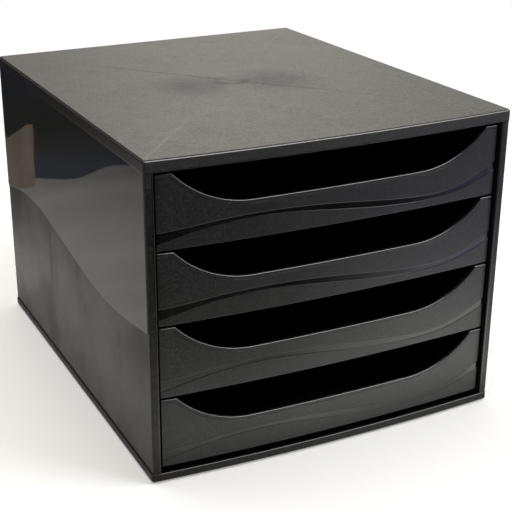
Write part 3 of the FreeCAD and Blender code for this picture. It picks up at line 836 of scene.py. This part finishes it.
def pebbled_lid():
    """The lid's pebble grain, with the faint creases where the melt fronts met along its diagonals, the
    ring round the gate in the middle and the duller flow marks.  All of them differ in roughness too,
    so that they show from every side.  The flow marks darken its colour too, a painted shade for
    their dimmer reflection."""
    p = Plastic("pebbled_lid", 0.42)
    x, y, _ = p.axes()
    grain, coarse, cloud = p.noise(1.6, 2.0), p.noise(5.0, 3.0, warp=0.3), p.noise(55, 4.0, warp=0.4)
    y = p.minus(y, MIDDLE_Y * MM)
    diagonal = math.hypot(HALF_WIDTH, HALF_DEPTH)
    along, across = HALF_WIDTH / diagonal, HALF_DEPTH / diagonal
    from_middle = p.length(x, y)
    waver = p.scaled(p.noise(40, 2.0), 0.006, -0.003)
    normal, dull = None, 0.0
    for side, depth, duller, fading in LID_CREASES:
        fade = p.between(from_middle, *fading)
        over = p.scaled(x, across, p.scaled(y, side * along, waver))
        step = p.times(p.between(over, -0.0008, 0.0008), p.between(over, 0.001, 0.03, 1, 0))
        normal = p.relief(p.times(step, fade), depth, normal)
        dull = p.scaled(p.between(p.calc("ABSOLUTE", over), 0.0004, 0.0022, duller, 0), fade, dull)
    pip, dish = p.between(from_middle, 0.009, 0.013, 1, 0), p.between(from_middle, 0.013, 0.03, 0, 0.8)
    normal = p.relief(p.plus(pip, dish), 0.5, normal)
    ring = p.times(p.between(from_middle, 0.006, 0.010), p.between(from_middle, 0.012, 0.019, 0.18, 0))
    dull = p.scaled(ring, p.between(y, -0.006, 0.004, 1, 0), dull)
    marks = 0.0
    for centre_x, centre_y, strength in LID_MARKS_AND_SHADE:
        away = p.length(p.minus(x, centre_x), p.minus(y, centre_y))
        marks = p.larger(marks, p.between(p.scaled(cloud, 0.06, away), 0.022, 0.08, strength, 0))
    specks = p.between(p.noise(1.5, 3.0), 0.38, 0.66)
    # The flow marks darken the colour here: painted shade for their dimmer reflection.
    p.colours(p.minus(specks, p.times(marks, 0.25)), LID_DARK, LID_LIGHT)
    rough = p.scaled(grain, 0.08, p.scaled(cloud, 0.16, p.scaled(p.noise(14, 4.0), 0.1, 0.27)))
    p.rough(p.plus(dull, p.scaled(marks, 0.27, rough)))
    return p.finish(p.relief(coarse, 0.1, p.relief(grain, 0.14, normal)))


def worn_edge():
    """Edges and lips that fingers have rubbed smoother than the grain beside them."""
    p = Plastic("worn_edge", 0.24)
    scuff = p.noise(2.5, 3.0)
    p.colours(p.spread(p.noise(30, 3.0)), CHARCOAL, CHARCOAL_LIGHT)
    p.rough(p.scaled(scuff, 0.12, 0.18))
    return p.finish(p.relief(scuff, 0.015))


def polished_side():
    """The polished upper part of the side panels."""
    p = Plastic("polished_side", 0.03)
    cloud = p.noise(60, 4.0)
    p.colours(p.spread(cloud), CHARCOAL, CHARCOAL_LIGHT)
    p.rough(p.scaled(p.noise(7, 5.0, (1, 0.25, 1)), 0.035, 0.01))
    return p.finish(p.relief(cloud, 0.06))


def satin_side():
    """The satin lower part of the side panels and the back, duller in clouds and smudges, smoother
    low down."""
    p = Plastic("satin_side", 0.26)
    cloud = p.noise(45, 4.0, warp=0.5)
    smudge = p.between(p.noise(46, 4.0, (1, 1, 0.8), warp=0.6), 0.45, 0.68, 0, 0.09)
    p.colours(p.spread(cloud), CHARCOAL, CHARCOAL_LIGHT)
    height = p.axes()[2]
    p.rough(p.plus(smudge, p.scaled(cloud, 0.24, p.between(height, 0.05, 0.12, 0.15, 0.25))))
    return p.finish(p.relief(p.noise(0.7, 2.0), 0.012))


def grained_drawer():
    """Fine spark-eroded grain of the drawer faces, with upright streaks of flow."""
    p = Plastic("grained_drawer", 0.4)
    flow = p.noise(9, 3.0, (1, 1, 0.12))
    p.colours(p.between(p.noise(1.6, 3.0), *SPECKS), SPECK_DARK, SPECK_LIGHT)
    p.rough(p.scaled(flow, 0.07, p.scaled(p.noise(50, 3.0), 0.08, 0.33)))
    return p.finish(p.relief(p.noise(3.0, 3.0), 0.08, p.relief(p.noise(1.0, 2.0), 0.1)))


def polished_ribbon():
    """The polished wave ribbon across a drawer face."""
    p = Plastic("polished_ribbon", 0.16)
    cloud = p.noise(30, 3.0)
    p.colours(p.spread(cloud), CHARCOAL, CHARCOAL_LIGHT)
    p.rough(p.scaled(cloud, 0.08, 0.12))
    return p.finish(p.relief(cloud, 0.03))


def tray_plastic():
    """The trays' plain moulded walls and floor."""
    p = Plastic("tray_plastic", 0.34)
    cloud = p.noise(35, 4.0)
    p.colours(p.spread(cloud), CHARCOAL, CHARCOAL_LIGHT)
    p.rough(p.scaled(cloud, 0.12, 0.28))
    return p.finish(p.relief(p.noise(1.1, 2.0), 0.02))


def foot_rubber():
    """Soft rubber of the foot pads."""
    p = Plastic("foot_rubber", 0.75, RUBBER_IOR)
    cloud = p.noise(6, 4.0)
    p.colours(p.spread(cloud), RUBBER_DARK, RUBBER_LIGHT)
    p.rough(p.scaled(cloud, 0.15, 0.68))
    return p.finish(p.relief(p.noise(0.5, 2.0), 0.04))


# ---- The dressed case ----

def build_case(worn):
    """Lid, base, side panels, back and feet, all on the housing."""
    # The post finish mirrors less than the shell finish: painted shade on the base rim and the posts.
    shell, post = grained_shell("grained_shell", 0.5), grained_shell("shaded_grained_post", 0.36)
    lid, gloss, satin, rubber = pebbled_lid(), polished_side(), satin_side(), foot_rubber()
    make_piece("lid", [lid_shell()], [shell, worn, lid], "housing", "case_plastic", "top_panel")
    make_piece("lid_ribs", lid_ribs(), [shell], "housing", "case_plastic", "top_panel")
    make_piece("base", [base_shell()], [post, worn], "housing", "case_plastic", "bottom_panel")
    left = [side_shell()] + ledge_shells()
    right = [mirrored(shell) for shell in left]
    for name, shells in (("left_side", left), ("right_side", right)):
        make_piece(name, shells, [post, worn, gloss, satin], "housing", "case_plastic", name + "_panel")
    make_piece("back", [back_shell()], [satin], "housing", "case_plastic", "back_panel")
    for node in ("foot_front_left", "foot_front_right", "foot_back_left", "foot_back_right"):
        low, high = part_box(node)
        centre = (low + high) / 2 / MM
        make_piece(node + "_pad", [foot_shell(centre[:2])], [rubber], "housing", "foot_rubber", node)


def build_drawers(worn):
    """The four drawers, each a face and a tray on its own body."""
    grain, ribbon, plain = grained_drawer(), polished_ribbon(), tray_plastic()
    face, tray = face_shell(), [tray_shell()] + lug_shells()
    for drawer, bottom in FACE_BOTTOMS.items():
        make_piece(drawer + "_face", [lifted(face, bottom)], [grain, worn, ribbon],
                   drawer, "drawer_plastic", drawer)
        make_piece(drawer + "_tray", [lifted(shell, bottom) for shell in tray], [plain],
                   drawer, "drawer_plastic", drawer)


# ---- Studio ----

def flat_face(name, corners, material):
    """An object of one flat face."""
    mesh = bpy.data.meshes.new(name)
    mesh.from_pydata(corners, [], [tuple(range(len(corners)))])
    mesh.materials.append(material)
    piece = bpy.data.objects.new(name, mesh)
    bpy.context.scene.collection.objects.link(piece)
    return piece


def bare_material(name):
    """A material with an empty tree, its nodes' helper and its output socket."""
    material = bpy.data.materials.new(name)
    material.use_nodes = True
    material.node_tree.nodes.clear()
    out = material.node_tree.nodes.new("ShaderNodeOutputMaterial")
    return material, Nodes(material.node_tree), out.inputs[0]


def level_square(half, height):
    """Corners of a level square about the origin."""
    return [(-half, -half, height), (half, -half, height), (half, half, height), (-half, half, height)]


def studio_floor():
    """A pale floor that keeps the case's shadow near it and, to the camera, runs out to white."""
    material, n, out = bare_material("studio_paper")
    x, y, _ = n.axes()
    seen = n.add("ShaderNodeLightPath").outputs["Is Camera Ray"]
    paper = n.add("ShaderNodeBsdfDiffuse", Color=PAPER).outputs[0]
    lift = n.add("ShaderNodeEmission", Strength=n.times(seen, PAPER_LIFT)).outputs[0]
    white = n.add("ShaderNodeEmission", Strength=1.0).outputs[0]
    far = n.between(n.length(x, y), *WHITE_FROM)
    n.put(n.shared(n.times(far, seen), n.added(paper, lift), white), out)
    floor = flat_face("studio_floor", level_square(FLOOR_HALF, 0), material)


def board(name, corners, light):
    """A glowing board that shows only in glossy reflections: painted light standing in for the boards and
    cloths beside a shiny object in a studio.  light(nodes) gives its colour and strength."""
    material, n, out = bare_material(name)
    colour, strength = light(n)
    n.put(n.add("ShaderNodeEmission", Color=colour, Strength=strength).outputs[0], out)
    piece = flat_face(name, corners, material)
    piece.visible_camera = piece.visible_diffuse = piece.visible_shadow = False
    piece.visible_transmission = piece.visible_volume_scatter = False


def front_light(n, x, y, away):
    """Strength of the floor before the case, as the drawer faces show it: bright near the case and, on
    the right, further off, but dim beside the right front corner, where the post there shows it."""
    slant = n.plus(n.times(y, 0.866), n.times(x, 0.5))
    lit = n.larger(n.between(y, -0.46, -0.05, 0.0, 1.56), n.between(slant, -0.33, -0.14, 0.0, 1.56))
    aim = n.calc("ARCTAN2", n.minus(-0.15, y), n.minus(x, 0.11))
    fades = (n.between(x, 0.25, 0.7, 1.0, 0.5), n.between(away, 0.01, 0.045, 0.66, 1.34),
             n.between(away, 0.08, 0.36, 1.0, 0.6), n.between(aim, 0.46, 0.64, 0.3, 1.0))
    shown_to_open_drawers = n.between(y, -1.1, -0.85, 0.42, 0.0)
    return n.plus(n.times(lit, *fades), shown_to_open_drawers)


def left_light(n, y, aside, beyond):
    """Strength of the floor on the left, as the side panel shows it: dimmer towards the table's far
    edge, and almost dark beyond it."""
    lit = n.times(n.between(y, 0.22, 0.44, 0.6, 0.45), n.between(y, 0.44, 0.52, 1.0, 0.74),
                  n.between(aside, 0.1, 0.3, 1.0, 0.82))
    return n.scaled(n.minus(n.between(y, 0.5, 0.8, 0.09, 0.038), lit), beyond, lit)


def floor_light(n):
    """The floor as the glossy case shows it, as colour and strength: one light before the case and
    another on its left, both shaded close to the case."""
    x, y, _ = n.axes()
    aside = n.larger(n.minus(n.calc("ABSOLUTE", x), HALF_WIDTH * MM), 0.0)
    ahead = n.larger(n.minus(n.calc("ABSOLUTE", y), FRONT_REACH), 0.0)
    away = n.length(aside, ahead)
    waver = n.times(n.calc("COSINE", n.times(n.plus(x, 0.31), 52.0)), 0.0145)
    beyond = n.between(n.plus(y, waver), 0.521, 0.527)
    to_front = n.between(n.minus(n.minus(x, y), 0.0315), -0.1, 0.1)
    strength = n.mix(to_front, left_light(n, y, aside, beyond), front_light(n, x, y, away))
    contact = n.between(away, -0.01, 0.07, 0.52, 1.0)
    clouds = n.spread(n.noise(70, 4.0, warp=0.5), 0.94, 1.06)
    bluish = n.larger(n.between(y, 0.56, 0.66, 1.0, 0.2), n.between(y, 0.84, 1.0, 0.0, 1.0))
    far_right = n.times(n.between(x, 0.14, 0.36), n.between(y, -0.5, -0.27, 1.0, 0.0))
    colour = n.blend(to_front, n.blend(n.times(beyond, bluish), WARM_TABLE, NIGHT_BLUE),
                     n.blend(far_right, PALE_TABLE, VIOLET_TABLE))
    return colour, n.times(strength, contact, clouds)


def brown_light(n):
    """The glow of a brown cardboard, a painted reflection: its colour and strength, with upright streaks.
    """
    return (*CARDBOARD, 1), n.spread(n.noise(18, 3.0, (1, 1, 0.25)), 0.2, 0.29)


def studio_world():
    """White to the camera and even and plain for light; the gloss alone sees a dim room, its window
    and the softboxes."""
    world = bpy.data.worlds.new("studio")
    bpy.context.scene.world = world
    world.use_nodes = True
    world.node_tree.nodes.clear()
    n = Nodes(world.node_tree, "Generated")
    x, y, z = n.axes()
    path = n.add("ShaderNodeLightPath")
    glossy = path.outputs["Is Glossy Ray"]
    turn = n.calc("ARCTAN2", x, y)
    window = n.times(n.between(turn, 0.18, 0.43), n.between(turn, 0.45, 0.76, 1, 0))
    room = n.times(n.between(z, 0.0, 0.7, 0.1, 0.42), n.between(y, -0.6, 0.1, 0.3, 1.0),
                   n.between(x, -0.6, 0.0, 0.35, 1.0))
    glow = n.scaled(window, n.between(z, 0.03, 0.38, 0.08, 1.5), room)
    boxes = 0.0
    for toward, inner, outer, radiance in SOFTBOXES:
        facing = n.times(x, toward[0])
        for axis, part in ((y, toward[1]), (z, toward[2])):
            facing = n.scaled(axis, part, facing)
        boxes = n.plus(n.between(facing, outer, inner, 0.0, radiance), boxes)
    even = n.times(n.minus(1.0, glossy), EVEN_LIGHT)
    light = n.scaled(glow, glossy, even)
    wall = n.add("ShaderNodeBackground", Color=(*WALL, 1), Strength=light).outputs[0]
    silk = n.add("ShaderNodeBackground", Color=(*SILK, 1), Strength=n.times(boxes, glossy)).outputs[0]
    white = n.add("ShaderNodeBackground", Strength=1.0).outputs[0]
    out = n.add("ShaderNodeOutputWorld").inputs[0]
    n.put(n.shared(path.outputs["Is Camera Ray"], n.added(wall, silk), white), out)


def studio_lamps():
    """Square area lamps that look at the case and stay out of its gloss."""
    for name, place, size, watts, colour in LAMPS:
        lamp = bpy.data.lights.new(name, "AREA")
        lamp.shape = "RECTANGLE"
        lamp.size = lamp.size_y = size
        lamp.energy, lamp.color = watts, colour
        holder = bpy.data.objects.new(name, lamp)
        holder.location = place
        holder.visible_glossy = False
        holder.rotation_mode = "QUATERNION"
        holder.rotation_quaternion = (Vector(LAMP_TARGET) - Vector(place)).to_track_quat("-Z", "Y")
        bpy.context.scene.collection.objects.link(holder)


def camera():
    """Long lens from the front left, a little above the lid."""
    data = bpy.data.cameras.new("camera")
    data.sensor_width, data.lens, data.shift_x = 36, CAMERA_LENS, CAMERA_SHIFT
    data.clip_start, data.clip_end = 0.05, 60
    holder = bpy.data.objects.new("camera", data)
    azimuth, elevation, roll = (math.radians(a) for a in CAMERA_TURN)
    back = Vector((math.sin(azimuth) * math.cos(elevation), -math.cos(azimuth) * math.cos(elevation),
                   math.sin(elevation)))
    right = (-back).cross(Vector((0, 0, 1))).normalized()
    up = back.cross(right)
    cos, sin = math.cos(roll), math.sin(roll)
    axes = (cos * right + sin * up, -sin * right + cos * up, back)
    holder.matrix_world = Matrix.Translation(CAMERA_PLACE) @ Matrix(axes).transposed().to_4x4()
    bpy.context.scene.collection.objects.link(holder)
    bpy.context.scene.camera = holder


camera()
worn_finish = worn_edge()
build_case(worn_finish)
build_drawers(worn_finish)
studio_floor()
board("floor_board", level_square(FLOOR_BOARD_HALF, FLOOR_BOARD_HEIGHT), floor_light)
board("brown_board", BROWN_BOARD, brown_light)
studio_world()
studio_lamps()

bpy.context.scene.view_settings.view_transform = "Standard"
